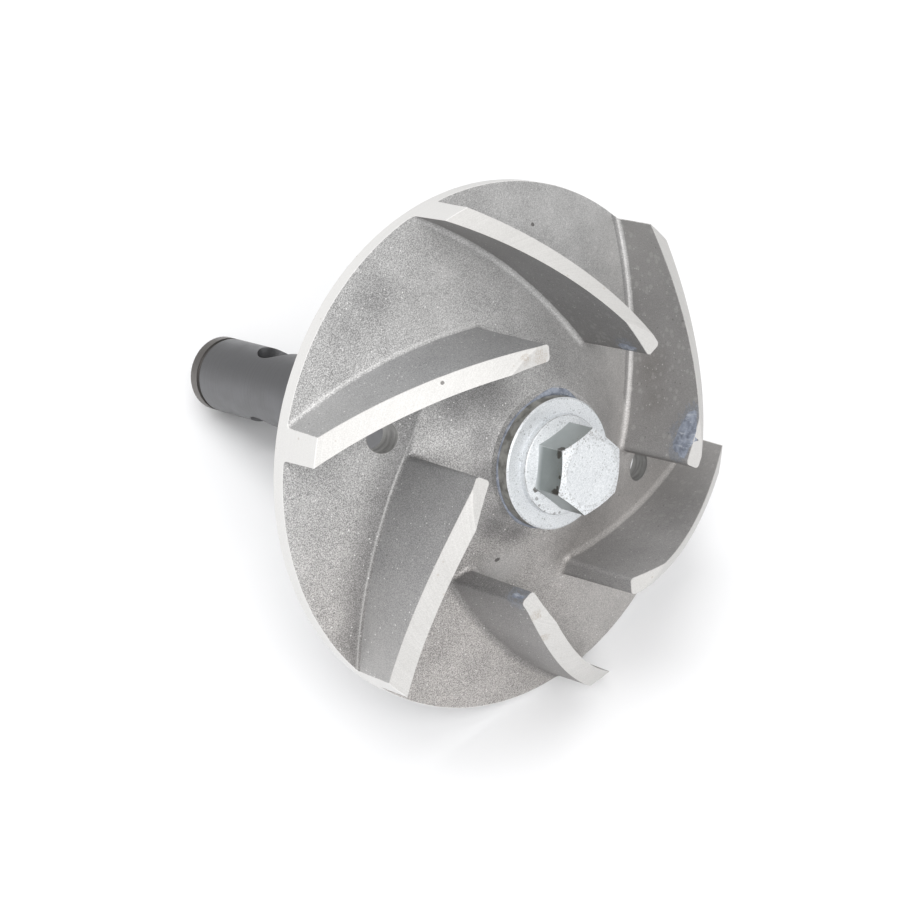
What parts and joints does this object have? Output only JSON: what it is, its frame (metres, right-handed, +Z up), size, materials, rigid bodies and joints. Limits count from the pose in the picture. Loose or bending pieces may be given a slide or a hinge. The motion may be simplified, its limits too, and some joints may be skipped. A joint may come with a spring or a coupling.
{
  "type": "pump impeller",
  "caption": "Semi-open centrifugal pump impeller with backward-curved vanes, clamped on the taper of its shaft by a washer and a flange bolt.",
  "frame": {"origin": "on the table, under the middle of the part's box, as it lies on its rim and on the free end of its shaft", "axes": "+Z up from the table; the impeller's eye faces -Y and up, the shaft runs to +Y and down; X runs across the wheel"},
  "size_m": [0.115, 0.1394, 0.1096],
  "materials": {
    "casting": "as cast, with bright turned vane tops and rim",
    "shaft_steel": "turned and blackened, satin",
    "zinc_plated": "zinc plated, mottled satin",
    "sealant": "cured sealing compound, satin"
  },
  "bodies": {
    "root": {"impeller": "casting", "shaft": "shaft_steel", "washer": "zinc_plated", "flange_bolt": "zinc_plated", "sealant_bead": "sealant"}
  },
  "joints": []
}
